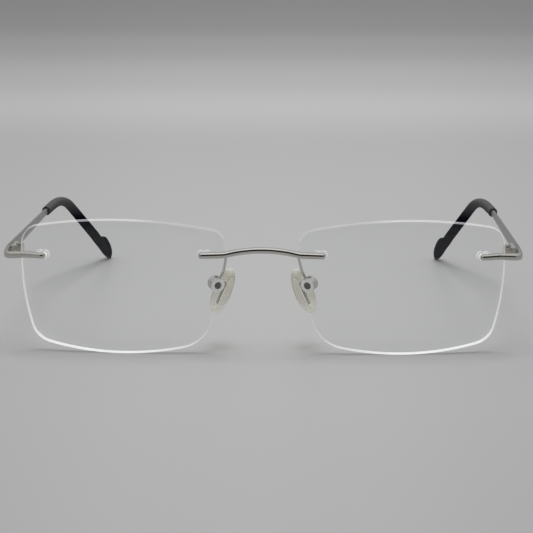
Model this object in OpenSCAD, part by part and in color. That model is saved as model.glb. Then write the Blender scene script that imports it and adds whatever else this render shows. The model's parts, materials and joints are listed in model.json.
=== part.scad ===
// Rimless eyeglasses, standing open on the lower lens edges and the temple tips.
// Millimetres. +X is the wearer's left, +Y runs back along the temples, +Z is up.
// The origin is on the floor, in the middle of the whole object's footprint.

/* [Lenses] */
// Distance from the centre plane to the middle of a lens
lens_x = 36.9; // [36.6:0.1:37.2]
// Thickness of a lens
lens_t = 2; // [1.8:0.1:2.2]
// Radius of the front curve of a lens
lens_front_r = 110; // [105:1:120]
// Lean of the lens tops towards the front, in degrees
lens_lean = 4.5; // [4:0.5:5]
// Backward turn of the temporal edges, in degrees
lens_wrap = 3; // [2.5:0.5:3.5]

/* [Bridge] */
// Distance between the two ends of the bridge bar
bridge_w = 33.6; // [33:0.2:35]
// Height of the bridge bar's section
bridge_h = 1.7; // [1.5:0.1:1.8]
// Depth of the bridge bar's section
bridge_t = 1.15; // [1:0.05:1.3]
// Rise of the arch between the lenses
bridge_rise = 1.25; // [0.8:0.05:1.6]

/* [Lens mounting] */
// Distance between the two pins of one mounting
pin_gap = 1.7; // [1.6:0.1:2]
// Radius of a mounting pin
pin_r = 0.38; // [0.35:0.01:0.4]
// Radius of a drilled hole in a lens
lens_hole_r = 0.6; // [0.58:0.01:0.62]

/* [Endpieces and hinges] */
// Distance between the outer faces of the two endpieces
front_w = 137.6; // [137:0.1:138.4]
// Height of the endpiece and the temple at the hinge
hinge_h = 3; // [2.8:0.1:3.2]
// Radius of the hinge knuckles
knuckle_r = 1.2; // [1.1:0.05:1.3]
// Radius of the hinge screw's shank
screw_r = 0.6; // [0.55:0.01:0.65]
// Radial running clearance of the temple knuckle on the screw
screw_play = 0.05; // [0.03:0.01:0.08]

/* [Temples] */
// Distance from the lens bottoms back to the end of a temple tip
temple_reach = 137.5; // [136:0.1:139]
// Thickness of the temple blade
blade_t = 1; // [0.9:0.05:1.1]
// Height of the temple blade where it enters the tip
blade_end_h = 1.6; // [1.5:0.05:1.7]
// Diameter of the temple tip's sleeve
sleeve_d = 2.7; // [2.6:0.05:2.8]
// Diameter of the sleeve where the paddle begins
sleeve_end_d = 3; // [2.9:0.05:3.1]
// Greatest height of the paddle at the end of the tip
paddle_h = 5.3; // [5:0.1:5.6]

/* [Nose pads] */
// Length of a nose pad
pad_l = 13.2; // [12.5:0.1:14]
// Width of a nose pad
pad_w = 7.2; // [6.8:0.1:7.6]
// Thickness of a nose pad
pad_t = 2.8; // [2.6:0.1:3]
// Turn of a pad's face towards the wearer, in degrees
pad_splay = 28; // [26:1:30]
// Slope of a pad's long side, in degrees
pad_slope = 23.5; // [22:0.5:25]

/* [Hidden] */
$fn = 48;

// All parts are drawn with y = 0 at the lens bottoms and then moved by this much,
// which puts the origin in the middle of the footprint.
centre_y = 66.35;

// Sides, as a factor on X
RIGHT = -1;
LEFT = 1;

// Colours
steel = [0.78, 0.77, 0.74];
satin_steel = [0.55, 0.55, 0.55];
clear = [0.85, 0.9, 0.92, 0.35];
black = [0.08, 0.08, 0.11];
silicone = [0.93, 0.92, 0.84, 0.7];

// ---- Vectors and paths ----

function unit(v) = v / norm(v);
function flip(list) = [for (i = [len(list) - 1 : -1 : 0]) list[i]];
function clamp(v, low, high) = min(max(v, low), high);
function ease(v) = let (t = clamp(v, 0, 1)) t * t * (3 - 2 * t);
function blend(a, b, t) = a + (b - a) * ease(t);
// The larger of v and 0, with the corner between them rounded by k
function soft_ramp(v, k) = (v + sqrt(v * v + k * k)) / 2;

// Arc of radius r round centre c in a plane, from angle a0 to a1 in n steps
function arc(c, r, a0, a1, n) = [for (i = [0 : n]) let (a = a0 + (a1 - a0) * i / n)
    c + r * [cos(a), sin(a)]];

// Points of the corner at p, between directions d0 and d1, rounded to radius r
function corner(p, d0, d1, r, n) =
    let (turn = acos(clamp(d0 * d1, -1, 1)))
    let (inward = unit(d1 - (d1 * d0) * d0))
    let (c = p - d0 * r * tan(turn / 2) + inward * r)
    [for (i = [0 : n]) c + r * (d0 * sin(turn * i / n) - inward * cos(turn * i / n))];

// A polyline in space with its inner corners rounded, radii[i] at points[i]
function rounded(points, radii, n = 8) =
    let (last = len(points) - 1)
    concat([points[0]],
        [for (i = [1 : last - 1])
            each corner(points[i], unit(points[i] - points[i - 1]),
                unit(points[i + 1] - points[i]), radii[i], n)],
        [points[last]]);

// A path cut into steps of at most d, so that a section can change along it
function stepped(path, d) = concat([for (i = [0 : len(path) - 2])
    let (a = path[i], b = path[i + 1], n = max(1, ceil(norm(b - a) / d)))
    for (k = [0 : n - 1]) a + (b - a) * k / n], [path[len(path) - 1]]);

// Distance of each point from the path's start
function travel(path, i = 0, sum = 0) = i == len(path) - 1 ? [sum]
    : concat([sum], travel(path, i + 1, sum + norm(path[i + 1] - path[i])));

function heading(path, i) = unit(path[min(i + 1, len(path) - 1)] - path[max(i - 1, 0)]);

// A flat section [across, up] set square to the path at point i
function ring(path, i, section) =
    let (ahead = heading(path, i))
    let (across = unit(cross(ahead, [0, 0, 1])), up = cross(across, ahead))
    [for (q = section) path[i] + across * q[0] + up * q[1]];

// Rounded rectangle (an ellipse at e = 2) of width w, reaching from low to high
function oval(w, low, high, e = 2, n = 24) = [for (i = [0 : n - 1])
    let (c = cos(360 * i / n), s = sin(360 * i / n))
    [w / 2 * sign(c) * pow(abs(c), 2 / e),
        (low + high) / 2 + (high - low) / 2 * sign(s) * pow(abs(s), 2 / e)]];

// Solid skin over a row of rings that each hold the same number of points
module skin(rings) {
    n = len(rings[0]);
    m = len(rings);
    polyhedron(
        points = [for (r = rings) each r],
        faces = concat([[for (j = [n - 1 : -1 : 0]) j]],
            [for (i = [0 : m - 2], j = [0 : n - 1])
                let (k = (j + 1) % n)
                each [[i * n + j, i * n + k, (i + 1) * n + j],
                    [i * n + k, (i + 1) * n + k, (i + 1) * n + j]]],
            [[for (j = [0 : n - 1]) (m - 1) * n + j]]));
}

// Puts a part in its place, mirrored for the right side
module placed(side = LEFT) {
    translate([0, -centre_y, 0]) mirror([side == RIGHT ? 1 : 0, 0, 0]) children();
}

// ---- Lenses ----

// Lens outline in the lens's own plane: +X to the temple, +Y up.
// Four rounded corners [x, y, radius], from the upper nasal one clockwise,
// and the radius of the long arc that leads from each to the next.
corners = [[-22.5, 10.6, 4.5], [22.3, 10.6, 5.2], [19.3, -10.4, 6.2], [-13.7, -7.8, 9.7]];
side_r = [107, 76, 89, 85];

// Centre of the long arc that touches the insides of corner circles a and b
function side_centre(a, b, r) =
    let (pa = [a[0], a[1]], pb = [b[0], b[1]], d = norm(pb - pa), ahead = (pb - pa) / d)
    let (x = (pow(r - a[2], 2) - pow(r - b[2], 2) + d * d) / (2 * d))
    pa + ahead * x + [ahead[1], -ahead[0]] * sqrt(pow(r - a[2], 2) - x * x);

function bearing(from, to) = atan2(to[1] - from[1], to[0] - from[0]);
// An angle brought to within half a turn below start, for clockwise arcs
function below(start, a) = a > start ? below(start, a - 360) : a;

side_centres = [for (i = [0 : 3]) side_centre(corners[i], corners[(i + 1) % 4], side_r[i])];

lens_outline = [for (i = [0 : 3])
    let (c = [corners[i][0], corners[i][1]], next = corners[(i + 1) % 4])
    let (a0 = bearing(side_centres[(i + 3) % 4], c))
    let (a1 = below(a0, bearing(side_centres[i], c)))
    let (a2 = below(a1, bearing(side_centres[i], [next[0], next[1]])))
    each concat(arc(c, corners[i][2], a0, a1, 8),
        [for (p = arc(side_centres[i], side_r[i], a1, a2, 12)) p])];

function turn_x(a) = [[1, 0, 0], [0, cos(a), -sin(a)], [0, sin(a), cos(a)]];
function turn_z(a) = [[cos(a), -sin(a), 0], [sin(a), cos(a), 0], [0, 0, 1]];
lens_turn = turn_z(lens_wrap) * turn_x(90 + lens_lean);
// The front vertex of a lens, set so that the lower front edge stands on the floor
lens_y = -3.54;
lens_z = 18.585;

// Depth of the front curve behind its vertex at (u, v) in the lens plane
function sag(u, v) = lens_front_r - sqrt(pow(lens_front_r, 2) - u * u - v * v);
// Place of a point h in front of the lens at (u, v)
function on_lens(u, v, h) = [lens_x, lens_y, lens_z] + lens_turn * [u, v, h - sag(u, v)];

// Lens frame: X to the temple, Y up, Z out of the front
module in_lens() {
    translate([lens_x, lens_y, lens_z])
        rotate([0, 0, lens_wrap])
            rotate([90 + lens_lean, 0, 0])
                children();
}

// Frame on the front surface of the lens at (u, v), square to the surface there
module on_surface(u, v) {
    across = asin(u / lens_front_r);
    up = asin(v / (lens_front_r * cos(across)));
    translate([0, 0, -lens_front_r])
        rotate([-up, 0, 0])
            rotate([0, across, 0])
                translate([0, 0, lens_front_r])
                    children();
}

// Mounting places on the lens, [u, v] of the middle between the two pins
bridge_mount = [-21.85, 8.4];
endpiece_mount = [22.5, 7.9];

module both_pins() {
    for (x = [-1, 1])
        translate([x * pin_gap / 2, 0, 0]) children();
}

module lens(side) {
    color(clear) placed(side) in_lens() difference() {
        intersection() {
            translate([0, 0, -12]) linear_extrude(14) polygon(lens_outline);
            translate([0, 0, -lens_front_r]) difference() {
                rotate([90, 0, 0]) sphere(lens_front_r, $fn = 360);
                rotate([90, 0, 0]) sphere(lens_front_r - lens_t, $fn = 360);
            }
        }
        for (m = [bridge_mount, endpiece_mount])
            on_surface(m[0], m[1]) both_pins()
                translate([0, 0, -lens_t - 2]) cylinder(r = lens_hole_r, h = lens_t + 4);
    }
}

// ---- Mounting pins and bushings ----

// Gap between a metal bar's flat back and the lens
bar_gap = 0.06;
// Radius and thickness of the bushing's lobes behind the lens
lobe_r = 1.1;
lobe_t = 0.8;
// Height of the web between the two lobes
web_h = 1.2;
// How far the tubes of the bushing stay inside the lens hole
tube_play = 0.02;
pin_play = 0.01;
// How far a pin stands out behind its bushing
pin_end = 0.2;

module bushing(side, place) {
    color(clear) placed(side) in_lens() on_surface(place[0], place[1])
        translate([0, 0, -lens_t - lobe_t - 0.03]) difference() {
            union() {
                both_pins() cylinder(r = lobe_r, h = lobe_t);
                both_pins() cylinder(r = lens_hole_r - tube_play, h = lobe_t + lens_t);
                translate([-pin_gap / 2, -web_h / 2, 0]) cube([pin_gap, web_h, lobe_t]);
            }
            both_pins() translate([0, 0, -1]) cylinder(r = pin_r + pin_play, h = lens_t + 4);
        }
}

module mounting_pins(place) {
    in_lens() on_surface(place[0], place[1]) both_pins()
        translate([0, 0, -lens_t - lobe_t - pin_end])
            cylinder(r = pin_r, h = lens_t + lobe_t + pin_end + bar_gap + 0.4);
}

// ---- Bridge ----

// The bar lies flat on each lens from its end to arch_x, and arches up between the lenses
arch_x = 9.8;
bar_end = on_lens(bridge_w / 2 - lens_x, bridge_mount[1], bar_gap);
bar_root = on_lens(arch_x - lens_x, bridge_mount[1], bar_gap);
bar_slope = (bar_end[1] - bar_root[1]) / (bar_end[0] - bar_root[0]);

// Middle of the bar's flat back at distance x from the centre plane
function bar_point(x) =
    let (a = abs(x))
    [x, bar_root[1] + bar_slope * soft_ramp(a - arch_x + 1.5, 1.2) - bar_slope * 1.5,
        bar_root[2] + soft_ramp(bridge_rise * (1 - pow(a / arch_x, 2)), 0.18)];

// Half-oval section, flat at the back, scaled by k
function bar_section(k) = concat(
    [for (i = [0 : 16]) let (a = -90 + 180 * i / 16)
        [bridge_t * k * (0.12 + 0.88 * cos(a)), bridge_h / 2 * k * sin(a)]],
    [[0, bridge_h / 2 * k * 0.86], [0, -bridge_h / 2 * k * 0.86]]);

module bridge() {
    steps = 72;
    ends = [0.18, 0.55, 0.82, 0.96];
    xs = concat([for (i = [0 : 3]) -bridge_w / 2 + 0.7 * (1 - sqrt(1 - pow(ends[i], 2)))],
        [for (i = [0 : steps]) (bridge_w / 2 - 0.7) * (2 * i / steps - 1)],
        [for (i = [3 : -1 : 0]) bridge_w / 2 - 0.7 * (1 - sqrt(1 - pow(ends[i], 2)))]);
    scales = concat(ends, [for (i = [0 : steps]) 1], flip(ends));
    path = [for (x = xs) bar_point(x)];
    color(steel) union() {
        placed() skin([for (i = [0 : len(path) - 1]) ring(path, i, bar_section(scales[i]))]);
        for (side = [RIGHT, LEFT]) placed(side) mounting_pins(bridge_mount);
    }
}

// ---- Endpieces ----

// Middle of the endpiece's leg and of the temple's front end
leg_t = 1.1;
leg_x = front_w / 2 - leg_t / 2;
// The hinge pin stands inboard of them
hinge_x = leg_x - 2.8;
hinge_y = 7;
hinge_z = 26.9;
hinge_low = hinge_z - hinge_h / 2;

endpiece_end = on_lens(20.75, endpiece_mount[1], bar_gap);
endpiece_edge = on_lens(26, endpiece_mount[1], bar_gap);
endpiece_way = unit([for (k = [0, 1]) endpiece_edge[k] - endpiece_end[k]]);
// The bar runs on in the same direction to the bend beside the lens
bend_out = leg_x - endpiece_end[0];
endpiece_bend = [leg_x, endpiece_end[1] + bend_out * endpiece_way[1] / endpiece_way[0],
    endpiece_end[2] - 0.35];

endpiece_path = stepped(rounded([endpiece_end, endpiece_edge, endpiece_bend,
    [leg_x, hinge_y - 1.1, hinge_z], [leg_x, hinge_y - 0.05, hinge_z]], [0, 4, 1.9, 2, 0]), 0.55);
endpiece_travel = travel(endpiece_path);

// Section s along the endpiece: a half-oval on the lens, a flat leg at the hinge
function endpiece_section(s) =
    let (k = sqrt(1 - pow(1 - clamp(s / 0.8, 0.04, 1), 2)))
    let (leg = ease((s - 10.3) / 4))
    let (high = k / 2 * (blend(1.65, 1.95, s / 11) * (1 - leg) + hinge_h * leg))
    let (back = k * leg_t * (0.03 + 0.47 * leg), front = k * leg_t * (1 - 0.5 * leg))
    [for (q = oval(2, -high, high, 2.4 + 2.6 * leg, 20)) [q[0] * (q[0] < 0 ? back : front), q[1]]];

module endpiece(side) {
    color(steel) union() {
        placed(side) skin([for (i = [0 : len(endpiece_path) - 1])
            ring(endpiece_path, i, endpiece_section(endpiece_travel[i]))]);
        placed(side) mounting_pins(endpiece_mount);
    }
}

// ---- Hinges ----

// Height of the temple's knuckle, and the gap above and below it
middle_h = 1;
knuckle_gap = 0.05;
middle_low = hinge_z - middle_h / 2;
knuckle_top = hinge_z + hinge_h / 2 - 0.2;
// Inner face of the leg and the blade, where the hinge halves are brazed on
leaf_face = leg_x - leg_t / 2;
screw_head_r = 1;
screw_head_h = 0.35;

module at_hinge(z) {
    translate([hinge_x, hinge_y, z]) children();
}

module endpiece_hinge(side) {
    depth = 1.7;
    color(steel) placed(side) difference() {
        union() {
            at_hinge(hinge_low) cylinder(r = knuckle_r, h = knuckle_top - hinge_low);
            translate([hinge_x - knuckle_r + 0.05, hinge_y - depth, hinge_low])
                cube([leaf_face - hinge_x + knuckle_r, depth - 0.1, knuckle_top - hinge_low]);
        }
        at_hinge(middle_low - knuckle_gap)
            cylinder(r = knuckle_r + 0.15, h = middle_h + 2 * knuckle_gap);
        at_hinge(hinge_low - 1) cylinder(r = screw_r + 0.01, h = hinge_h + 2);
    }
}

module temple_hinge(side) {
    leaf_t = 0.95;
    leaf_h = 2.4;
    color(steel) placed(side) difference() {
        union() {
            at_hinge(middle_low) cylinder(r = knuckle_r, h = middle_h);
            translate([hinge_x, hinge_y + 0.1, middle_low])
                cube([leaf_face - hinge_x, knuckle_r - 0.25, middle_h]);
            translate([leaf_face - leaf_t, hinge_y + 0.15, hinge_z - leaf_h / 2 - 0.05])
                cube([leaf_t, 5.5, leaf_h]);
        }
        at_hinge(hinge_low - 1) cylinder(r = screw_r + screw_play, h = hinge_h + 2);
    }
}

module hinge_screw(side) {
    color(steel) placed(side) at_hinge(hinge_low + 0.05) difference() {
        union() {
            cylinder(r = screw_r, h = knuckle_top - hinge_low);
            translate([0, 0, knuckle_top - hinge_low]) cylinder(r = screw_head_r, h = screw_head_h);
        }
        translate([-2, -0.15, knuckle_top - hinge_low + 0.15]) cube([4, 0.3, 1]);
    }
}

// ---- Temples ----

// Where the blade meets its tip, the corner above the ear, and the tip's end
tip_start = [69, 85, 25];
ear_corner = [65.9, 96.5, 27.2];
// The run behind the ear bows slightly inwards
tip_bow = [58.9, 122.6, 10];
tip_end = [55.55, temple_reach - 0.9, -0.066];
temple_front = [leg_x, hinge_y + 0.12, hinge_z];
sleeve_start = tip_start + 2 * unit(temple_front - tip_start);

bend_radii = [0, 22, 20, 60, 0];
temple_path = stepped(rounded([temple_front, tip_start, ear_corner, tip_bow, tip_end],
    bend_radii, 6), 4);
temple_travel = travel(temple_path);
blade_l = norm(tip_start - temple_front);

sleeve_path = stepped(rounded([sleeve_start, tip_start, ear_corner, tip_bow, tip_end],
    bend_radii, 6), 1.3);
sleeve_travel = travel(sleeve_path);
sleeve_l = sleeve_travel[len(sleeve_travel) - 1];

// The blade becomes a thin round core inside the tip, and the core stops short of its end
core_d = 1.4;
core_stop = 11;

function temple_section(s) =
    let (inside = ease((s - blade_l + 4) / 4))
    let (h = (hinge_h + (blade_end_h - hinge_h) * min(s / blade_l, 1)) * (1 - inside)
        + core_d * inside)
    let (w = blade_t * (1 - inside) + core_d * inside)
    oval(w, -h / 2, h / 2, 6 - 4 * inside, 20);

module temple(side) {
    last = temple_travel[len(temple_travel) - 1] - core_stop;
    color(satin_steel) placed(side)
        skin([for (i = [0 : len(temple_path) - 1])
            if (temple_travel[i] <= last) ring(temple_path, i, temple_section(temple_travel[i]))]);
}

// ---- Temple tips ----

paddle_l = 15;
paddle_w = 2.6;

// Height of the paddle's rounded end above the sleeve's axis
paddle_nose = 0.2;

// Section s along the tip: an oval sleeve, then a paddle that swells on its upper side
function tip_section(s) =
    let (x = (s - sleeve_l + paddle_l / 2) / (paddle_l / 2))
    let (r = sleeve_d / 2 + (sleeve_end_d - sleeve_d) / 2 * min(s / (sleeve_l - paddle_l), 1))
    let (round = sqrt(max(0.005, 1 - x * x)), mouth = 0.95 + 0.05 * ease(s / 1.2))
    let (top = paddle_h - r, n = paddle_nose)
    let (high = x < 0 ? mouth * blend(r, top, (x + 1) * 1.05) : n + (top - n) * round)
    let (low = x < 0 ? -mouth * r : n - (n + r) * round)
    let (w = x < 0 ? blend(2 * r, paddle_w, x + 1.3) : paddle_w * sqrt(max(0.02, 1 - pow(x, 4))))
    oval(w * mouth, low, high, 2.2, 20);

// Radius of the tip's hollow: a wide open mouth, then close round the core
function hollow_r(s) = blend(1.05, core_d / 2 + 0.04, (s - 2.6) / 1.2);

module temple_tip(side) {
    deep = sleeve_l - core_stop + 0.3;
    last = len(sleeve_path) - 1;
    hollow = [for (i = [last : -1 : 0])
        if (sleeve_travel[i] < deep)
            ring(sleeve_path, i, oval(2 * hollow_r(sleeve_travel[i]),
                -hollow_r(sleeve_travel[i]), hollow_r(sleeve_travel[i]), 2, 20))];
    outside = [for (i = [0 : last]) ring(sleeve_path, i, tip_section(sleeve_travel[i]))];
    color(black) placed(side) skin(concat(hollow, outside));
}

// ---- Nose pads ----

// Middle of the pad box on the left side
box_at = [12.55, 5.6, 17.95];
// Middle of the pad seen from the box: outward, back along the screw, up the long side
pad_at = [-3.97, 1.93, -1.79];
box_r = 1.95;
box_front = -1.35;
box_back = 1.3;
pad_screw_r = 0.5;
pad_head_r = 0.95;
// Half the thickness of the tab that the screw goes through, and its clearance
tab_half = 0.42;
tab_play = 0.08;
tab_r = 1.05;
insert_t = 0.35;

// Box frame: X away from the nose, Y back along the pad screw, Z up the pad
module at_box() {
    translate(box_at) rotate([0, -pad_slope, 0]) rotate([0, 0, -pad_splay]) children();
}

module along_screw(y) {
    translate([0, y, 0]) rotate([-90, 0, 0]) children();
}

module pad_box(side) {
    color(steel) placed(side) at_box() difference() {
        along_screw(box_front) cylinder(r = box_r, h = box_back - box_front);
        translate([-3, -tab_half - tab_play, -3]) cube([3 + tab_r + 0.1, 2 * (tab_half + tab_play), 6]);
        along_screw(box_front - 1) cylinder(r = pad_screw_r + 0.01, h = 5);
        along_screw(box_front - 1) cylinder(r = pad_head_r + 0.07, h = 1.55);
    }
}

module pad_screw(side) {
    head_back = box_front + 0.55;
    color(steel) placed(side) at_box() difference() {
        union() {
            along_screw(head_back) cylinder(r = pad_screw_r, h = box_back - head_back);
            along_screw(head_back - 0.4) cylinder(r = pad_head_r, h = 0.4);
        }
        translate([-2, head_back - 1, -0.15]) cube([4, 0.8, 0.3]);
    }
}

module pad_insert(side) {
    plate_x = pad_at[0] + pad_t / 2 - insert_t + 0.1;
    color(steel) placed(side) at_box() difference() {
        union() {
            along_screw(-tab_half) cylinder(r = tab_r, h = 2 * tab_half);
            translate([plate_x, -tab_half, -0.85]) cube([-plate_x, 2 * tab_half, 1.7]);
            translate([plate_x, -tab_half, pad_at[2] - 3.4]) cube([insert_t, 2 * tab_half, 6.4]);
        }
        along_screw(-2) cylinder(r = pad_screw_r + screw_play, h = 4);
    }
}

// Egg-shaped pad outline scaled by k, at depth x
function pad_ring(x, k) = [for (i = [0 : 31]) let (a = 360 * i / 32)
    let (z = pad_l / 2 * k * sin(a))
    pad_at + [x, pad_w / 2 * k * cos(a) * (1 - 0.24 * z / pad_l), z]];

module nose_pad(side) {
    color(silicone) placed(side) at_box()
        skin([for (i = [0 : 10]) let (a = -84 + 168 * i / 10)
            pad_ring(-pad_t / 2 * sin(a), pow(cos(a), a < 0 ? 0.25 : 0.5))]);
}

arm_d = 0.75;
arm_points = [[9.45, bar_point(9.45)[1] - 0.2, 27.1], [9.45, 0.5, 26.9], [10.5, 4.9, 21.6],
    [11.35, 6.9, 19.65], [12.2, 6.9, 18.85], [12.6, 6.5, 18.65]];

module pad_arm(side) {
    path = rounded(arm_points, [0, 0.8, 4, 0.9, 0.4, 0], 5);
    color(steel) placed(side)
        skin([for (i = [0 : len(path) - 1]) ring(path, i, oval(arm_d, -arm_d / 2, arm_d / 2, 2, 14))]);
}

lens(RIGHT);  // lens_right
lens(LEFT);  // lens_left
bridge();
bushing(RIGHT, bridge_mount);  // bridge_bushing_right
bushing(LEFT, bridge_mount);  // bridge_bushing_left
endpiece(RIGHT);  // endpiece_right
endpiece(LEFT);  // endpiece_left
bushing(RIGHT, endpiece_mount);  // endpiece_bushing_right
bushing(LEFT, endpiece_mount);  // endpiece_bushing_left
endpiece_hinge(RIGHT);  // endpiece_hinge_right
endpiece_hinge(LEFT);  // endpiece_hinge_left
temple_hinge(RIGHT);  // temple_hinge_right
temple_hinge(LEFT);  // temple_hinge_left
hinge_screw(RIGHT);  // hinge_screw_right
hinge_screw(LEFT);  // hinge_screw_left
temple(RIGHT);  // temple_right
temple(LEFT);  // temple_left
temple_tip(RIGHT);  // temple_tip_right
temple_tip(LEFT);  // temple_tip_left
pad_arm(RIGHT);  // pad_arm_right
pad_arm(LEFT);  // pad_arm_left
pad_box(RIGHT);  // pad_box_right
pad_box(LEFT);  // pad_box_left
pad_screw(RIGHT);  // pad_screw_right
pad_screw(LEFT);  // pad_screw_left
pad_insert(RIGHT);  // pad_insert_right
pad_insert(LEFT);  // pad_insert_left
nose_pad(RIGHT);  // nose_pad_right
nose_pad(LEFT);  // nose_pad_left
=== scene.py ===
"""Rimless eyeglasses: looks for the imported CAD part.

The metal bars, temples, tips, pads and lenses are rebuilt here as fine smooth meshes on the
same paths and sections as the CAD part, so they carry polish and clear plastic well. The small
turned and milled pieces (hinges, screws, bushings, pad boxes, pad inserts) are the CAD meshes.
Shapes are worked out in millimetres, with y = 0 at the lens bottoms as in the CAD source, and
turned into metres in the row frame when a mesh is made.
"""

import json
import math

import bpy
import numpy as np
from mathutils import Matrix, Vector


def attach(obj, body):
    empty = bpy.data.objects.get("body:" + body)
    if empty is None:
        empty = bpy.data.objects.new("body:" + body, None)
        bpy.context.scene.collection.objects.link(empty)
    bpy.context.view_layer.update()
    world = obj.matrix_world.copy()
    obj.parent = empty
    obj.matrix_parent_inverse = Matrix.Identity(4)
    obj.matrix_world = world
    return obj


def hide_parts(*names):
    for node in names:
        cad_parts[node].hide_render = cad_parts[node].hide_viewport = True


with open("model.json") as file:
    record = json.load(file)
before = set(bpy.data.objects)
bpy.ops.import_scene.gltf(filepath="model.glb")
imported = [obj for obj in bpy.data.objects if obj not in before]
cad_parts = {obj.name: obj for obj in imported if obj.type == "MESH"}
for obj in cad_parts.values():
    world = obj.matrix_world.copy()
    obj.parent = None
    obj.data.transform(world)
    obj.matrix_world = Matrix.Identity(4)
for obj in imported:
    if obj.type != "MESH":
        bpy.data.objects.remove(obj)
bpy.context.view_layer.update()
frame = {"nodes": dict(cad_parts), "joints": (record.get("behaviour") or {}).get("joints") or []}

MM = 0.001
SIDES = {"right": -1.0, "left": 1.0}

# ---- Sizes shared with the CAD part, in millimetres and degrees ----

FRONT_W = 137.6
LEG_T = 1.1
LENS_AT = np.array([36.9, -3.54, 18.585])
LENS_R = 110.0
LENS_T = 2.0
LENS_LEAN = 4.5
LENS_WRAP = 3.0
# Corners of the lens outline [u, v, radius] clockwise from the upper nasal one,
# and the radius of the long arc from each corner to the next
LENS_CORNERS = [(-22.5, 10.6, 4.5), (22.3, 10.6, 5.2), (19.3, -10.4, 6.2), (-13.7, -7.8, 9.7)]
LENS_SIDES = [107.0, 76.0, 89.0, 85.0]
BRIDGE_MOUNT = (-21.85, 8.4)
ENDPIECE_MOUNT = (22.5, 7.9)
PIN_GAP = 1.7
PIN_R = 0.38
# A pin runs through the lens and the bushing's lobe behind it, and stands out a little
LOBE_T = 0.8
PIN_END = 0.2
PIN_REACH = LENS_T + LOBE_T + PIN_END
PIN_ROOT = 0.4
LENS_HOLE_R = 0.6
BAR_GAP = 0.06
BRIDGE_W = 33.6
BRIDGE_H = 1.7
BRIDGE_T = 1.15
BRIDGE_RISE = 1.25
ARCH_X = 9.8
BAR_END_L = 0.7
HINGE_H = 3.0
BLADE_T = 1.0
BLADE_END_H = 1.6
CORE_D = 1.4
CORE_STOP = 11.0
SLEEVE_D = 2.7
SLEEVE_END_D = 3.0
PADDLE_H = 5.3
PADDLE_L = 15.0
PADDLE_W = 2.6
PADDLE_NOSE = 0.2
TEMPLE_REACH = 137.5
PAD_L = 13.2
PAD_W = 7.2
PAD_T = 2.8
PAD_SPLAY = 28.0
PAD_SLOPE = 23.5
PAD_FROM_BOX = np.array([-3.97, 1.93, -1.79])
ARM_D = 0.75


def joint(name):
    return next(j for j in frame["joints"] if j["name"] == name)


# The hinge pin and the pad box stand at their joints, which also fixes the CAD part's shift in Y
HINGE = np.array(joint("left_temple_fold")["pos_m"]) / MM
HINGE_Y = 7.0
SHIFT_Y = HINGE_Y - HINGE[1]
HINGE[1] = HINGE_Y
PAD_BOX = np.array(joint("left_pad_rock")["pos_m"]) / MM + [0, SHIFT_Y, 0]
LEG_X = FRONT_W / 2 - LEG_T / 2


# ---- Vectors and paths ----

def unit(v):
    return np.asarray(v, float) / np.linalg.norm(v)


def ease(t):
    t = min(max(t, 0.0), 1.0)
    return t * t * (3 - 2 * t)


def mix(a, b, t):
    return a + (b - a) * ease(t)


def soft_ramp(v, k):
    """The larger of v and 0, with the corner between them rounded by k."""
    return (v + math.sqrt(v * v + k * k)) / 2


def turn(axis, degrees):
    c, s = math.cos(math.radians(degrees)), math.sin(math.radians(degrees))
    if axis == "x":
        return np.array([[1, 0, 0], [0, c, -s], [0, s, c]])
    if axis == "y":
        return np.array([[c, 0, s], [0, 1, 0], [-s, 0, c]])
    return np.array([[c, -s, 0], [s, c, 0], [0, 0, 1]])


def corner(p, d0, d1, r, n):
    """Points of the corner at p between directions d0 and d1, rounded to radius r."""
    angle = math.acos(min(max(float(d0 @ d1), -1), 1))
    inward = unit(d1 - (d1 @ d0) * d0)
    centre = p - d0 * r * math.tan(angle / 2) + inward * r
    return [centre + r * (d0 * math.sin(angle * i / n) - inward * math.cos(angle * i / n))
            for i in range(n + 1)]


def rounded(points, radii, n=16):
    """A polyline in space with its inner corners rounded."""
    p = [np.asarray(q, float) for q in points]
    path = [p[0]]
    for i in range(1, len(p) - 1):
        path += corner(p[i], unit(p[i] - p[i - 1]), unit(p[i + 1] - p[i]), radii[i], n)
    return path + [p[-1]]


def stepped(path, d):
    """The path cut into steps of at most d."""
    out = []
    for a, b in zip(path, path[1:]):
        n = max(1, math.ceil(np.linalg.norm(b - a) / d))
        out += [a + (b - a) * k / n for k in range(n)]
    return out + [path[-1]]


def travel(path):
    """Distance of each point from the path's start."""
    steps = [0.0] + [float(np.linalg.norm(b - a)) for a, b in zip(path, path[1:])]
    return list(np.cumsum(steps))


def heading(path, i):
    return unit(path[min(i + 1, len(path) - 1)] - path[max(i - 1, 0)])


def ring(path, i, section):
    """A flat section of (across, up) pairs set square to the path at point i."""
    ahead = heading(path, i)
    across = unit(np.cross(ahead, [0, 0, 1]))
    up = np.cross(across, ahead)
    return [path[i] + across * q[0] + up * q[1] for q in section]


def oval(w, low, high, e=2.0, n=40):
    """Rounded rectangle (an ellipse at e = 2) of width w, reaching from low to high."""
    out = []
    for i in range(n):
        c, s = math.cos(2 * math.pi * i / n), math.sin(2 * math.pi * i / n)
        out.append((w / 2 * math.copysign(abs(c) ** (2 / e), c),
                    (low + high) / 2 + (high - low) / 2 * math.copysign(abs(s) ** (2 / e), s)))
    return out


# ---- Meshes ----

def to_row(points, side):
    p = np.array(points, float).reshape(-1, 3)
    p[:, 0] *= side
    p[:, 1] -= SHIFT_Y
    return p * MM


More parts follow.
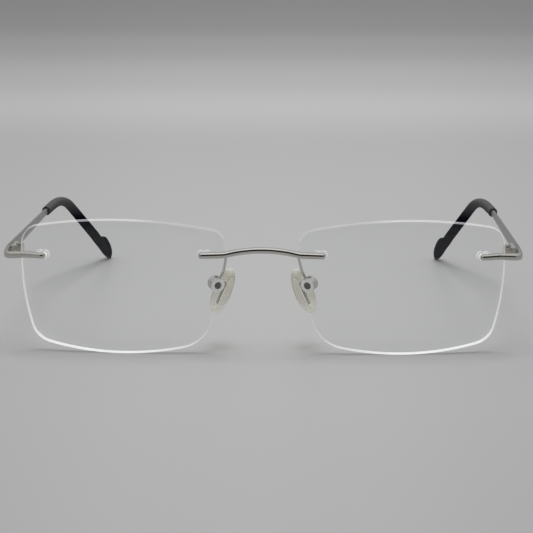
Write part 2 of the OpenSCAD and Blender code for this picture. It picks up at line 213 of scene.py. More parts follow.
def make(name, points, faces, side, materials, body, node, sharp, material_of=None):
    """A mesh object from points in the CAD source's millimetres. It replaces the named node.
    Edges sharper than `sharp` degrees stay crisp."""
    if side < 0:
        faces = [tuple(reversed(f)) for f in faces]
    mesh = bpy.data.meshes.new(name)
    mesh.from_pydata(to_row(points, side).tolist(), [], faces)
    for m in materials:
        mesh.materials.append(m)
    mesh.polygons.foreach_set("use_smooth", [True] * len(faces))
    if material_of is not None:
        mesh.polygons.foreach_set("material_index", material_of)
    mesh.update()
    mesh.set_sharp_from_angle(angle=math.radians(sharp))
    piece = bpy.data.objects.new(name, mesh)
    bpy.context.scene.collection.objects.link(piece)
    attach(piece, body)
    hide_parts(node)
    return piece


def skin(rings):
    """Points and faces of a closed skin over rings that hold the same number of points."""
    n, m = len(rings[0]), len(rings)
    faces = [tuple(range(n))]
    for i in range(m - 1):
        for j in range(n):
            k = (j + 1) % n
            faces.append((i * n + j, (i + 1) * n + j, (i + 1) * n + k, i * n + k))
    faces.append(tuple((m - 1) * n + j for j in range(n - 1, -1, -1)))
    return [p for r in rings for p in r], faces


def joined(parts):
    """One list of points and faces from several."""
    points, faces = [], []
    for p, f in parts:
        at = len(points)
        points += list(p)
        faces += [tuple(i + at for i in face) for face in f]
    return points, faces


# ---- Lens places ----

LENS_TURN = turn("z", LENS_WRAP) @ turn("x", 90 + LENS_LEAN)


def sag(u, v, r=LENS_R):
    return r - math.sqrt(r * r - u * u - v * v)


def on_lens(u, v, h):
    """The point h in front of the lens's front face at (u, v)."""
    return LENS_AT + LENS_TURN @ np.array([u, v, h - sag(u, v)])


def square_to_lens(u, v):
    """Centre, and the outward, temporal and upward directions, at (u, v) on the front face."""
    a = math.asin(u / LENS_R)
    b = math.asin(v / (LENS_R * math.cos(a)))
    out = np.array([math.sin(a), math.cos(a) * math.sin(b), math.cos(a) * math.cos(b)])
    along = np.array([math.cos(a), -math.sin(a) * math.sin(b), -math.sin(a) * math.cos(b)])
    return (on_lens(u, v, 0), LENS_TURN @ out, LENS_TURN @ along,
            LENS_TURN @ np.cross(out, along))


def mounting_pins(place):
    """The two pins that go back through the lens, with rounded ends."""
    centre, out, along, up = square_to_lens(*place)
    # Heights over the lens, each with the share of the pin's radius there
    outline = [(-PIN_REACH, 0.5), (-PIN_REACH + 0.06, 0.85), (-PIN_REACH + 0.16, 1.0),
               (BAR_GAP + PIN_ROOT, 1.0)]
    parts = []
    for s in (-1, 1):
        foot = centre + along * s * PIN_GAP / 2
        rings = []
        for height, k in outline:
            rings.append([foot + out * height
                          + PIN_R * k * (along * math.cos(a) - up * math.sin(a))
                          for a in np.linspace(0, 2 * math.pi, 24, endpoint=False)])
        parts.append(skin(rings))
    return joined(parts)


# ---- Materials ----

# The part of the noise's range that its colours and roughness are spread over
NOISE_LOW, NOISE_HIGH = 0.3, 0.7


def material(name, colours, rough, grain, bump=0.0, stretch=(1, 1, 1), **sockets):
    """A principled material. Noise with `grain` cells a metre runs its colour between the two
    `colours` and its roughness over the `rough` range, and lifts the surface by `bump` metres."""
    m = bpy.data.materials.new(name)
    m.use_nodes = True
    tree = m.node_tree
    shader = tree.nodes["Principled BSDF"]
    for socket, value in sockets.items():
        shader.inputs[socket.replace("_", " ")].default_value = value
    coords = tree.nodes.new("ShaderNodeTexCoord")
    mapping = tree.nodes.new("ShaderNodeMapping")
    mapping.inputs["Scale"].default_value = stretch
    noise = tree.nodes.new("ShaderNodeTexNoise")
    noise.inputs["Scale"].default_value = grain
    noise.inputs["Detail"].default_value = 5
    ramp = tree.nodes.new("ShaderNodeValToRGB")
    for element, at, colour in zip(ramp.color_ramp.elements, (NOISE_LOW, NOISE_HIGH), colours):
        element.position = at
        element.color = (*colour, 1)
    link = tree.links.new
    link(coords.outputs["Object"], mapping.inputs["Vector"])
    link(mapping.outputs["Vector"], noise.inputs["Vector"])
    link(noise.outputs["Fac"], ramp.inputs["Fac"])
    link(ramp.outputs["Color"], shader.inputs["Base Color"])
    link(remap(tree, noise.outputs["Fac"], NOISE_LOW, NOISE_HIGH, *rough),
         shader.inputs["Roughness"])
    if bump:
        relief = tree.nodes.new("ShaderNodeBump")
        relief.inputs["Strength"].default_value = 1.0
        relief.inputs["Distance"].default_value = bump
        link(noise.outputs["Fac"], relief.inputs["Height"])
        link(relief.outputs["Normal"], shader.inputs["Normal"])
    return m


def see_through(m, share, tint):
    """Mixes the material with tinted transparency. `share` is a function that makes the
    transparent share in the material's tree."""
    tree = m.node_tree
    through = tree.nodes.new("ShaderNodeBsdfTransparent")
    through.inputs["Color"].default_value = (*tint, 1)
    both = tree.nodes.new("ShaderNodeMixShader")
    tree.links.new(share(tree), both.inputs["Fac"])
    tree.links.new(tree.nodes["Principled BSDF"].outputs["BSDF"], both.inputs[1])
    tree.links.new(through.outputs["BSDF"], both.inputs[2])
    tree.links.new(both.outputs["Shader"], tree.nodes["Material Output"].inputs["Surface"])
    return m


def remap(tree, value, low, high, to_low=0.0, to_high=1.0):
    """The value moved from the range low..high to the range to_low..to_high, and held there."""
    node = tree.nodes.new("ShaderNodeMapRange")
    for socket, number in (("From Min", low), ("From Max", high), ("To Min", to_low),
                           ("To Max", to_high)):
        node.inputs[socket].default_value = number
    tree.links.new(value, node.inputs["Value"])
    return node.outputs["Result"]


def arithmetic(tree, operation, value, other):
    """The result of a sum on two terms. Each is a socket or a number."""
    node = tree.nodes.new("ShaderNodeMath")
    node.operation = operation
    for socket, term in zip(node.inputs, (value, other)):
        if isinstance(term, (int, float)):
            socket.default_value = term
        else:
            tree.links.new(term, socket)
    return node.outputs["Value"]


def axis_values(tree, kind="Object"):
    """The X, Y and Z sockets of the object's coordinates, or of the world's direction."""
    place = tree.nodes.new("ShaderNodeTexCoord")
    parts = tree.nodes.new("ShaderNodeSeparateXYZ")
    tree.links.new(place.outputs[kind], parts.inputs["Vector"])
    return parts.outputs


def by_slant(power, square_on, edge_on):
    """A share that goes from `square_on` to `edge_on` as the surface is seen at a slant."""
    def share(tree):
        facing = tree.nodes.new("ShaderNodeLayerWeight")
        facing.inputs["Blend"].default_value = 0.5
        slant = arithmetic(tree, "POWER", facing.outputs["Facing"], power)
        return remap(tree, slant, 0, 1, square_on, edge_on)
    return share


def fade_colour(m, colour, factor):
    """Fades the material's colour to another where `factor`, made in its tree, nears 1."""
    tree = m.node_tree
    shader = tree.nodes["Principled BSDF"]
    fade = tree.nodes.new("ShaderNodeMix")
    fade.data_type = "RGBA"
    fade.inputs["B"].default_value = (*colour, 1)
    tree.links.new(factor(tree), fade.inputs["Factor"])
    tree.links.new(shader.inputs["Base Color"].links[0].from_socket, fade.inputs["A"])
    tree.links.new(fade.outputs["Result"], shader.inputs["Base Color"])
    return m


def painted_highlight_above(m, colour, bottom, top):
    """Fades to the colour from the height `bottom` up to `top`, in metres: a painted highlight on
    the upper parts.
    """
    return fade_colour(m, colour, lambda tree: remap(tree, axis_values(tree)["Z"], bottom, top))


def painted_highlight_ends(m, colour, middle, start, end):
    """Fades to the colour between `start` and `end` above and below the height `middle`: a painted
    highlight on both ends.
    """
    def factor(tree):
        height = arithmetic(tree, "SUBTRACT", axis_values(tree)["Z"], middle)
        return remap(tree, arithmetic(tree, "ABSOLUTE", height, 0), start, end)
    return fade_colour(m, colour, factor)


def painted_shade_aside(m, colour):
    """Darkens the colour of the surfaces that are seen at a slant: painted shade, standing in for
    the dark surroundings that small polished parts mirror there.
    """
    return fade_colour(m, colour, by_slant(1.5, 0.0, 1.0))


def edge_share(tree):
    """The clear share of a lens edge: whitest at the bottom, as a painted highlight of the light
    that the lens carries down to it, clearer at the top and towards the nose, and closed to
    lamps, so that it throws a full shadow."""
    # Places in metres
    nose_side, middle = 0.011, 0.034
    floor_z, top_z = 0.0, 0.036
    clearest = 0.88
    place = axis_values(tree)
    nasal = remap(tree, arithmetic(tree, "ABSOLUTE", place["X"], 0), nose_side, middle, 0.6, 0.0)
    clear = arithmetic(tree, "ADD", nasal, remap(tree, place["Z"], floor_z, top_z, 0.1, 0.7))
    path = tree.nodes.new("ShaderNodeLightPath")
    seen = arithmetic(tree, "SUBTRACT", 1, path.outputs["Is Shadow Ray"])
    return arithmetic(tree, "MULTIPLY", arithmetic(tree, "MINIMUM", clear, clearest), seen)


polished = material("polished_metal", [(0.53, 0.52, 0.49), (0.58, 0.57, 0.545)],
                    (0.02, 0.05), 1500, 0.0000003, Metallic=1.0)
# The pad boxes' metal is painted darker where it is seen at a slant: a painted reflection of dark
# surroundings
box_metal = painted_shade_aside(
    material("bright_metal", [(0.92, 0.91, 0.88), (1.0, 0.99, 0.97)], (0.22, 0.34), 2500,
             0.000001, Metallic=1.0), (0.12, 0.12, 0.12))
brazed = material("brazed_metal", [(0.76, 0.74, 0.69), (0.84, 0.82, 0.78)],
                  (0.2, 0.28), 1800, 0.0000003, Metallic=1.0)
satin = material("satin_metal", [(0.36, 0.36, 0.36), (0.43, 0.43, 0.425)],
                 (0.34, 0.48), 2200, 0.000002, (1, 0.03, 1), Metallic=1.0)
wire = material("wire_metal", [(0.5, 0.49, 0.46), (0.64, 0.63, 0.6)],
                (0.1, 0.2), 3000, 0.000001, Metallic=1.0)
dark_metal = material("dark_metal", [(0.07, 0.07, 0.072), (0.14, 0.14, 0.14)],
                      (0.2, 0.35), 3000, 0.000002, Metallic=1.0)
# The tips' plastic is paler over the top of their bend: a painted highlight of the light from above
tip_plastic = painted_highlight_above(
    material("tip_plastic", [(0.005, 0.0053, 0.0105), (0.007, 0.0077, 0.015)],
             (0.36, 0.46), 1400, 0.000001, IOR=1.46, Specular_IOR_Level=0.0),
    (0.15, 0.15, 0.151), 0.019, 0.0285)
lens_face = see_through(
    material("lens_face", [(0.9, 0.9, 0.9), (0.95, 0.95, 0.95)], (0.01, 0.03), 60,
             Metallic=1.0), by_slant(5, 0.965, 0.0), (0.985, 0.99, 0.988))
# The lens edge glows a little, as painted light, and is whitest at its bottom, as a painted
# highlight: both stand in for light that the lens carries to its edges
lens_edge = see_through(
    material("lens_edge", [(0.93, 0.95, 0.94), (0.98, 0.985, 0.98)], (0.4, 0.6), 5000, 0.00001,
             IOR=1.5, Emission_Color=(1.0, 1.0, 1.0, 1.0), Emission_Strength=0.3),
    edge_share, (0.99, 0.99, 0.99))
# The clear bushings glow a little: painted light for their bright outlines
bushing_clear = see_through(
    material("bushing_clear", [(0.9, 0.92, 0.91), (0.98, 0.985, 0.98)], (0.1, 0.2), 2000,
             0.00001, IOR=1.5, Emission_Color=(1.0, 1.0, 1.0, 1.0), Emission_Strength=0.32),
    by_slant(2, 0.83, 0.0), (0.98, 0.985, 0.985))
silicone = see_through(
    material("pad_silicone", [(0.9, 0.87, 0.75), (0.96, 0.94, 0.86)], (0.04, 0.1), 1500,
             0.00001, IOR=1.41), by_slant(9, 0.985, 0.1), (0.975, 0.975, 0.955))
# The pad's rim is seen through its whole width, so it is yellower, and its ends are painted
# paler, as a painted highlight where they catch the light
silicone_rim = see_through(
    painted_highlight_ends(material("pad_rim", [(0.4, 0.34, 0.2), (0.62, 0.56, 0.4)], (0.02, 0.05), 600,
                        0.0001, IOR=1.41), (1.0, 1.0, 0.97), 0.0165, 0.0022, 0.0048),
    by_slant(2.5, 0.7, 0.0), (0.97, 0.96, 0.9))

# ---- Lenses ----

EDGE_BEVEL = 0.12
# Heights of the drills' two ends over the front face
DRILL_BACK, DRILL_FRONT = -4, 1


def side_centre(a, b, r):
    """Centre of the long arc that touches the insides of corner circles a and b."""
    pa, pb = np.array(a[:2]), np.array(b[:2])
    d = np.linalg.norm(pb - pa)
    ahead = (pb - pa) / d
    x = ((r - a[2]) ** 2 - (r - b[2]) ** 2 + d * d) / (2 * d)
    return pa + ahead * x + np.array([ahead[1], -ahead[0]]) * math.sqrt((r - a[2]) ** 2 - x * x)


def lens_outline():
    """The outline, anticlockwise as seen from the front of the left lens."""
    centres = [side_centre(LENS_CORNERS[i], LENS_CORNERS[(i + 1) % 4], LENS_SIDES[i])
               for i in range(4)]

    def bearing(a, b, start=None):
        angle = math.atan2(b[1] - a[1], b[0] - a[0])
        while start is not None and angle > start:
            angle -= 2 * math.pi
        return angle

    points = []
    for i, (x, y, r) in enumerate(LENS_CORNERS):
        a0 = bearing(centres[i - 1], (x, y))
        a1 = bearing(centres[i], (x, y), a0)
        a2 = bearing(centres[i], LENS_CORNERS[(i + 1) % 4], a1)
        points += [(x + r * math.cos(a), y + r * math.sin(a)) for a in np.linspace(a0, a1, 17)]
        points += [tuple(centres[i] + LENS_SIDES[i] * np.array([math.cos(a), math.sin(a)]))
                   for a in np.linspace(a1, a2, 25)[1:-1]]
    return [np.array(p) for p in reversed(points)]


def lens(side_name):
    side = SIDES[side_name]
    outline = lens_outline()
    back_r = LENS_R - LENS_T

    def loop(k, inset, back, shift=0.0):
        ring_points = []
        for p in outline:
            u, v = p * (1 - inset / np.linalg.norm(p)) * k
            depth = -LENS_T - sag(u, v, back_r) if back else -sag(u, v)
            ring_points.append(LENS_AT + LENS_TURN @ np.array([u, v, depth + shift]))
        return ring_points

    # Rings from the middle to the edge, closer where they near it
    steps = [0.03, 0.15, 0.3, 0.45, 0.6, 0.72, 0.82, 0.9, 0.96, 1.0]
    rings = [loop(k, EDGE_BEVEL, False) for k in steps]
    rings += [loop(1, 0, False, -EDGE_BEVEL), loop(1, 0, True, EDGE_BEVEL)]
    rings += [loop(k, EDGE_BEVEL, True) for k in reversed(steps)]
    points, faces = skin(rings)
    around = len(outline)
    edge = range(len(steps) - 1, len(steps) + 2)
    material_of = [0] + [int(i in edge) for i in range(len(rings) - 1) for _ in range(around)] + [0]
    piece = make("lens_shape_" + side_name, points, faces, side, [lens_face, lens_edge],
                 "front", "lens_" + side_name, 40, material_of)
    drills = []
    for place in (BRIDGE_MOUNT, ENDPIECE_MOUNT):
        centre, out, along, up = square_to_lens(*place)
        for s in (-1, 1):
            foot = centre + along * s * PIN_GAP / 2
            circle = [along * math.cos(a) - up * math.sin(a)
                      for a in np.linspace(0, 2 * math.pi, 32, endpoint=False)]
            drills.append(skin([[foot + out * h + q * LENS_HOLE_R for q in circle]
                                for h in (DRILL_BACK, DRILL_FRONT)]))
    cut_through(piece, *joined(drills), side)
    return piece


def cut_through(piece, points, faces, side):
    """Cuts a mesh out of the piece for good, so that no helper object stays in the scene."""
    if side < 0:
        faces = [tuple(reversed(f)) for f in faces]
    mesh = bpy.data.meshes.new("drill")
    mesh.from_pydata(to_row(points, side).tolist(), [], faces)
    mesh.materials.append(lens_edge)
    tool = bpy.data.objects.new("drill", mesh)
    bpy.context.scene.collection.objects.link(tool)
    cut = piece.modifiers.new("holes", "BOOLEAN")
    cut.operation = "DIFFERENCE"
    cut.solver = "EXACT"
    cut.material_mode = "TRANSFER"
    cut.object = tool
    bpy.context.view_layer.update()
    cut_mesh = bpy.data.meshes.new_from_object(
        piece.evaluated_get(bpy.context.evaluated_depsgraph_get()))
    piece.modifiers.clear()
    piece.data = cut_mesh
    piece.data.set_sharp_from_angle(angle=math.radians(40))
    bpy.data.objects.remove(tool)


# ---- Bridge ----

bar_end = on_lens(BRIDGE_W / 2 - LENS_AT[0], BRIDGE_MOUNT[1], BAR_GAP)
bar_root = on_lens(ARCH_X - LENS_AT[0], BRIDGE_MOUNT[1], BAR_GAP)
BAR_SLOPE = (bar_end[1] - bar_root[1]) / (bar_end[0] - bar_root[0])
# The bar starts to turn this far inside the arch's foot, and its turns are this soft
BAR_LEAD = 1.5
BAR_SOFT = 1.2
ARCH_SOFT = 0.18


def bar_point(x):
    """Middle of the bridge bar's flat back, x from the centre plane."""
    a = abs(x)
    return np.array([
        x,
        bar_root[1] + BAR_SLOPE * soft_ramp(a - ARCH_X + BAR_LEAD, BAR_SOFT)
        - BAR_SLOPE * BAR_LEAD,
        bar_root[2] + soft_ramp(BRIDGE_RISE * (1 - (a / ARCH_X) ** 2), ARCH_SOFT)])


def bar_section(k):
    """Half-oval section, flat at the back, with its back edges rounded, scaled by k."""
    bow = [(BRIDGE_T * k * (0.12 + 0.88 * math.cos(a)), BRIDGE_H / 2 * k * math.sin(a))
           for a in np.linspace(-math.pi / 2, math.pi / 2, 29)]
    back = [(0.04, 0.97), (0.01, 0.93), (0, 0.86), (0, 0.4), (0, -0.4), (0, -0.86),
            (0.01, -0.93), (0.04, -0.97)]
    return bow + [(BRIDGE_T * k * x, BRIDGE_H / 2 * k * z) for x, z in back]


def bridge():
    # The scales of the section in the bar's rounded ends, and the places of those rings
    ends = [math.sin(a) for a in np.linspace(0.08, 1.45, 9)]
    end_xs = [BRIDGE_W / 2 - BAR_END_L * (1 - math.sqrt(1 - k * k)) for k in ends]
    straight = list(np.linspace(-BRIDGE_W / 2 + BAR_END_L, BRIDGE_W / 2 - BAR_END_L, 145))
    xs = [-x for x in end_xs] + straight + end_xs[::-1]
    scales = ends + [1.0] * len(straight) + ends[::-1]
    path = [bar_point(x) for x in xs]
    parts = [skin([ring(path, i, bar_section(k)) for i, k in enumerate(scales)])]
    pins, pin_faces = mounting_pins(BRIDGE_MOUNT)
    parts.append((pins, pin_faces))
    parts.append(([p * [-1, 1, 1] for p in pins], [tuple(reversed(f)) for f in pin_faces]))
    piece = make("bridge_bar", *joined(parts), 1.0, [polished], "front", "bridge", 40)


# ---- Endpieces ----

# Places across the lens of the endpiece's inner end and of its first bend
ENDPIECE_START_U = 20.75
ENDPIECE_EDGE_U = 26
# The leg runs straight from here to just in front of the hinge pin, and the temple starts
# just behind the pin
LEG_STRAIGHT = 1.1
LEG_STOP = 0.05
TEMPLE_STOP = 0.12
BEND_DROP = 0.35
ENDPIECE_RADII = [0, 4, 1.9, 2, 0]
# Height of the endpiece's bar where it starts and where it turns into the leg
ENDPIECE_START_H = 1.65
ENDPIECE_BEND_H = 1.95
ENDPIECE_BAR_L = 11
# The bar's section turns into the leg's over this stretch
LEG_FROM = 10.3
LEG_CHANGE = 4
ENDPIECE_END_L = 0.8
# The bar is polished, and the leg that carries the hinge is satin from here on
SATIN_FROM = 11.5


def endpiece(side_name):
    end = on_lens(ENDPIECE_START_U, ENDPIECE_MOUNT[1], BAR_GAP)
    edge = on_lens(ENDPIECE_EDGE_U, ENDPIECE_MOUNT[1], BAR_GAP)
    way = unit(edge[:2] - end[:2])
    bend = np.array([LEG_X, end[1] + (LEG_X - end[0]) * way[1] / way[0],
                     end[2] - BEND_DROP])
    path = stepped(rounded([end, edge, bend, (LEG_X, HINGE_Y - LEG_STRAIGHT, HINGE[2]),
                            (LEG_X, HINGE_Y - LEG_STOP, HINGE[2])], ENDPIECE_RADII), 0.3)
    along = travel(path)
    # The rounded inner end takes a few close rings
    first = unit(path[1] - path[0])
    for d in (0.01, 0.03, 0.08, 0.16, 0.24):
        at = next(i for i, s in enumerate(along) if s > d)
        path.insert(at, path[0] + first * d)
        along.insert(at, d)

    def section(s):
        k = math.sqrt(1 - (1 - min(max(s / ENDPIECE_END_L, 0.02), 1)) ** 2)
        leg = ease((s - LEG_FROM) / LEG_CHANGE)
        bar_h = mix(ENDPIECE_START_H, ENDPIECE_BEND_H, s / ENDPIECE_BAR_L)
        high = k / 2 * (bar_h * (1 - leg) + HINGE_H * leg)
        back, front = k * LEG_T * (0.03 + 0.47 * leg), k * LEG_T * (1 - 0.5 * leg)
        return [(x * (back if x < 0 else front), z)
                for x, z in oval(2, -high, high, 2.4 + 2.6 * leg)]

    rings = [ring(path, i, section(s)) for i, s in enumerate(along)]
    bar, pins = skin(rings), mounting_pins(ENDPIECE_MOUNT)
    finish = [0] + [int(s > SATIN_FROM) for s in along[:-1] for _ in rings[0]] + [1]
    piece = make("endpiece_bar_" + side_name, *joined([bar, pins]), SIDES[side_name],
                 [polished, satin], "front", "endpiece_" + side_name, 40,
                 finish + [0] * len(pins[1]))


# ---- Temples and their tips ----

TIP_START = np.array([69.0, 85, 25])
EAR_CORNER = np.array([65.9, 96.5, 27.2])
# The run behind the ear bows slightly inwards
TIP_BOW = np.array([58.9, 122.6, 10])
TIP_END = np.array([55.55, TEMPLE_REACH - 0.9, -0.066])
TIP_POINTS = [TIP_START, EAR_CORNER, TIP_BOW, TIP_END]
BEND_RADII = [0, 22, 20, 60, 0]
# The flat blade turns into the round core over this length, before the tip's start
CORE_CHANGE = 4
# How far the sleeve reaches forwards over the blade
SLEEVE_OVERLAP = 2
# The open mouth of the sleeve: its radius and depth, the length that it narrows over inside
# and outside, and the play round the core
MOUTH_R = 1.05
MOUTH_DEPTH = 2.6
MOUTH_TAPER = 1.2
CORE_PLAY = 0.04
TEMPLE_FRONT = np.array([LEG_X, HINGE_Y + TEMPLE_STOP, HINGE[2]])


def temple(side_name):
    path = stepped(rounded([TEMPLE_FRONT, *TIP_POINTS], BEND_RADII), 1.5)
    along = travel(path)
    blade_l = float(np.linalg.norm(TIP_START - TEMPLE_FRONT))

    def section(s):
        inside = ease((s - blade_l + CORE_CHANGE) / CORE_CHANGE)
        h = (HINGE_H + (BLADE_END_H - HINGE_H) * min(s / blade_l, 1)) * (1 - inside) \
            + CORE_D * inside
        w = BLADE_T * (1 - inside) + CORE_D * inside
        return oval(w, -h / 2, h / 2, 6 - 4 * inside, 48)

    piece = make("temple_blade_" + side_name,
                 *skin([ring(path, i, section(s)) for i, s in enumerate(along)
                        if s <= along[-1] - CORE_STOP]),
                 SIDES[side_name], [satin], side_name + "_temple", "temple_" + side_name, 50)


def temple_tip(side_name):
    start = TIP_START + SLEEVE_OVERLAP * unit(TEMPLE_FRONT - TIP_START)
    path = stepped(rounded([start, *TIP_POINTS], BEND_RADII), 0.5)
    along = travel(path)
    length = along[-1]
    half = PADDLE_L / 2

    def section(s):
        """An oval sleeve, then a paddle that swells on its upper side and ends round."""
        x = (s - length + half) / half
        r = (SLEEVE_D + (SLEEVE_END_D - SLEEVE_D) * min(s / (length - PADDLE_L), 1)) / 2
        top, swell = PADDLE_H - r, math.sqrt(max(0.005, 1 - x * x))
        mouth = 0.95 + 0.05 * ease(s / MOUTH_TAPER)
        if x < 0:
            low, high = -mouth * r, mouth * mix(r, top, (x + 1) * 1.05)
            w = mix(2 * r, PADDLE_W, x + 1.3)
        else:
            low = PADDLE_NOSE - (PADDLE_NOSE + r) * swell
            high = PADDLE_NOSE + (top - PADDLE_NOSE) * swell
            w = PADDLE_W * math.sqrt(max(0.02, 1 - x ** 4))
        return oval(w * mouth, low, high, 2.2, 48)

    def hollow(s):
        r = mix(MOUTH_R, CORE_D / 2 + CORE_PLAY, (s - MOUTH_DEPTH) / MOUTH_TAPER)
        return oval(2 * r, -r, r, 2, 48)

    deep = [i for i, s in enumerate(along) if s < length - CORE_STOP + 0.3]
    rings = [ring(path, i, hollow(along[i])) for i in reversed(deep)]
    rings += [ring(path, i, section(s)) for i, s in enumerate(along)]
    piece = make("tip_sleeve_" + side_name, *skin(rings), SIDES[side_name], [tip_plastic],
                 side_name + "_temple", "temple_tip_" + side_name, 50)


# ---- Nose pads ----

BOX_TURN = turn("y", -PAD_SLOPE) @ turn("z", -PAD_SPLAY)
# How much narrower a pad is at its top than at its bottom, as a share of the width
PAD_TAPER = 0.24
# The pad's rim is the band of its section within this many degrees of its widest ring
RIM_BAND = 62


def nose_pad(side_name):
    def egg(a):
        """One ring of the pad. The side away from the nose is the flatter one."""
        x, k = -PAD_T / 2 * math.sin(a), math.cos(a) ** (0.25 if a < 0 else 0.5)
        points = []
        for b in np.linspace(0, 2 * math.pi, 64, endpoint=False):
            z = PAD_L / 2 * k * math.sin(b)
            y = PAD_W / 2 * k * math.cos(b) * (1 - PAD_TAPER * z / PAD_L)
            points.append(PAD_BOX + BOX_TURN @ (PAD_FROM_BOX + [x, y, z]))
        return points

    angles = np.linspace(-88, 88, 41)
    rim = [0] + [int(abs(a) < RIM_BAND) for a in angles[:-1] for _ in range(64)] + [0]
    piece = make("pad_cushion_" + side_name, *skin([egg(math.radians(a)) for a in angles]),
                 SIDES[side_name], [silicone, silicone_rim], side_name + "_pad",
                 "nose_pad_" + side_name, 60, rim)


def pad_arm(side_name):
    # From the bar back and down to the pad box, and round into the box's back
    points = [(9.45, bar_point(9.45)[1] - 0.2, 27.1), (9.45, 0.5, 26.9), (10.5, 4.9, 21.6),
              (11.35, 6.9, 19.65), (12.2, 6.9, 18.85), (12.6, 6.5, 18.65)]
    radii = [0, 0.8, 4, 0.9, 0.4, 0]
    path = stepped(rounded(points, radii, 12), 0.4)
    piece = make("pad_wire_" + side_name,
                 *skin([ring(path, i, oval(ARM_D, -ARM_D / 2, ARM_D / 2, 2, 24))
                        for i in range(len(path))]),
                 SIDES[side_name], [wire], "front", "pad_arm_" + side_name, 60)


bridge()
for side_name in SIDES:
    lens(side_name)
    endpiece(side_name)
    temple(side_name)
    temple_tip(side_name)
    nose_pad(side_name)
    pad_arm(side_name)

# ---- The CAD pieces that are shown as they are ----

FINISH = {"bushing": bushing_clear, "hinge": brazed, "hinge_screw": polished,
          "pad_box": box_metal, "pad_screw": dark_metal, "pad_insert": wire}
EDGE_ROUND = 0.06
for name, node in frame["nodes"].items():
    if node.hide_render:
        continue
    kind = next(k for k in sorted(FINISH, key=len, reverse=True) if k in name)
    for s in node.material_slots:
        s.material = FINISH[kind]
    edges = node.modifiers.new("edges", "BEVEL")
    edges.width = EDGE_ROUND * MM
    edges.segments = 2
    edges.limit_method = "ANGLE"
    edges.angle_limit = math.radians(35)

# ---- Floor, light and camera, in metres ----

def plane(name, size, z):
    mesh = bpy.data.meshes.new(name)
    s = size / 2
    mesh.from_pydata([(-s, -s, z), (s, -s, z), (s, s, z), (-s, s, z)], [], [(0, 1, 2, 3)])
    sheet = bpy.data.objects.new(name, mesh)
    bpy.context.scene.collection.objects.link(sheet)
    return sheet


def ramp_along(tree, value, stops, socket):
    """Feeds a grey ramp over `value`, which runs from 0 to 1, to the socket."""
    ramp = tree.nodes.new("ShaderNodeValToRGB")
    ramp.color_ramp.interpolation = "EASE"
    elements = ramp.color_ramp.elements
    while len(elements) < len(stops):
        elements.new(0.5)
    for element, (at, colour) in zip(elements, stops):
        element.position = at
        element.color = (*colour, 1) if isinstance(colour, tuple) else (colour,) * 3 + (1,)
    tree.links.new(value, ramp.inputs["Fac"])
    tree.links.new(ramp.outputs["Color"], socket)


# Just below the glasses, so that the two surfaces never lie in one plane
FLOOR_SIZE = 12
FLOOR_Z = -0.00002

floor = plane("floor", FLOOR_SIZE, FLOOR_Z)
paper = bpy.data.materials.new("pale_floor")
paper.use_nodes = True
tree = paper.node_tree
shader = tree.nodes["Principled BSDF"]
shader.inputs["Roughness"].default_value = 0.38
shader.inputs["Specular IOR Level"].default_value = 0.22
# Painted light and shade: pale where the glasses stand, as a painted pool of light, and darker
# towards the far end and behind the camera, as painted falloff of the light
x, y, z = axis_values(tree)
tint = tree.nodes.new("ShaderNodeMix")
tint.data_type = "RGBA"
tint.blend_type = "MULTIPLY"
tint.inputs["Factor"].default_value = 1.0
ramp_along(tree, remap(tree, y, -1.0, 2.4),
           [(0.0, 0.31), (0.2, 0.475), (0.31, 0.54), (0.4, 0.54), (0.46, 0.65), (0.51, 0.58),
            (0.6, 0.45), (0.69, 0.355), (0.84, 0.33), (1.0, 0.32)], tint.inputs["A"])
# Painted light too: a little paler along the middle, in a strip that widens with the distance
aside = arithmetic(tree, "DIVIDE", arithmetic(tree, "ABSOLUTE", x, 0),
                   arithmetic(tree, "ADD", y, 0.62))
ramp_along(tree, remap(tree, aside, 0, 0.3),
           [(0.0, 1.0), (0.15, 0.99), (0.5, 0.91), (1.0, 0.85)], tint.inputs["B"])
tree.links.new(tint.outputs["Result"], shader.inputs["Base Color"])
floor.data.materials.append(paper)

world = bpy.data.worlds.new("studio")
bpy.context.scene.world = world
world.use_nodes = True
tree = world.node_tree
background = tree.nodes["Background"]
x, y, z = axis_values(tree, "Generated")
height = remap(tree, z, -1, 1)
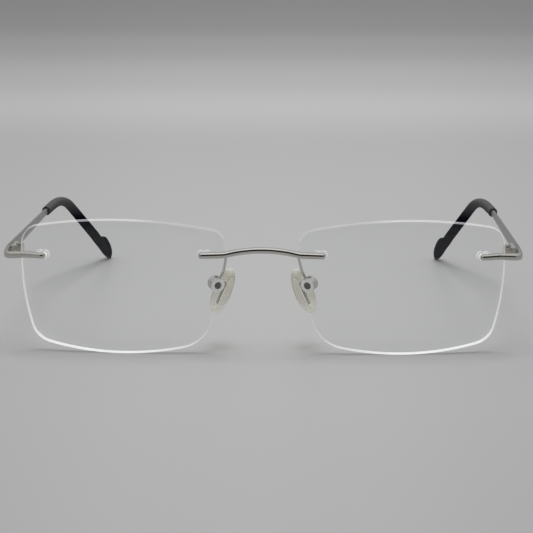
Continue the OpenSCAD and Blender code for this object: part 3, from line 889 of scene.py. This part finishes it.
# A wedge in front of the glasses is dark up to a band of light. Around it the studio is grey
aside = arithmetic(tree, "ABSOLUTE", arithmetic(tree, "SUBTRACT", x, 0.07), 0)
wedge = arithmetic(tree, "ADD", y, arithmetic(tree, "MULTIPLY", aside, 1.25))
blend_sides = tree.nodes.new("ShaderNodeMix")
blend_sides.data_type = "RGBA"
tree.links.new(remap(tree, wedge, -0.03, 0.03), blend_sides.inputs["Factor"])
# What lies overhead is the same for both
overhead = [(0.965, 1.05), (1.0, 1.7)]
ramp_along(tree, height, [(0.45, 0.004), (0.88, (0.006, 0.005, 0.004)), (0.94, 0.85)] + overhead,
           blend_sides.inputs["A"])
ramp_along(tree, height, [(0.45, 0.46), (0.6, 0.5), (0.8, 0.66)] + overhead,
           blend_sides.inputs["B"])
tree.links.new(blend_sides.outputs["Result"], background.inputs["Color"])
background.inputs["Strength"].default_value = 0.75


LAMPS_AIM_AT = Vector((0, 0, 0.02))


def lamp(name, at, size, power):
    """A round lamp that lights the glasses but isn't mirrored in their metal."""
    light = bpy.data.lights.new(name, "AREA")
    light.shape = "DISK"
    light.size = size
    light.energy = power
    o = bpy.data.objects.new(name, light)
    o.location = at
    o.rotation_euler = (LAMPS_AIM_AT - Vector(at)).to_track_quat("-Z", "Y").to_euler()
    o.visible_glossy = False
    bpy.context.scene.collection.objects.link(o)


lamp("key_light", (0.0, -0.02, 1.2), 0.6, 4.2)
lamp("front_light", (0.0, -0.45, 1.15), 0.3, 1)
lamp("back_light", (0.0, 1.0, 1.1), 0.3, 1)

# The camera's place in metres, its downward tilt and its turn in degrees, and its focal length
# and sensor in millimetres
CAMERA_AT = (0.012257, -0.540992, 0.116969)
CAMERA_TILT = 11.099
CAMERA_TURN = 1.342
FOCAL_LENGTH = 123.25
SENSOR_WIDTH = 36

camera_data = bpy.data.cameras.new("camera")
camera_data.sensor_width = SENSOR_WIDTH
camera_data.lens = FOCAL_LENGTH
camera_data.clip_start = 0.01
camera = bpy.data.objects.new("camera", camera_data)
bpy.context.scene.collection.objects.link(camera)
camera.location = CAMERA_AT
camera.rotation_euler = (math.radians(90 - CAMERA_TILT), 0, math.radians(CAMERA_TURN))
bpy.context.scene.camera = camera
bpy.context.scene.view_settings.view_transform = "Standard"

bpy.context.view_layer.update()
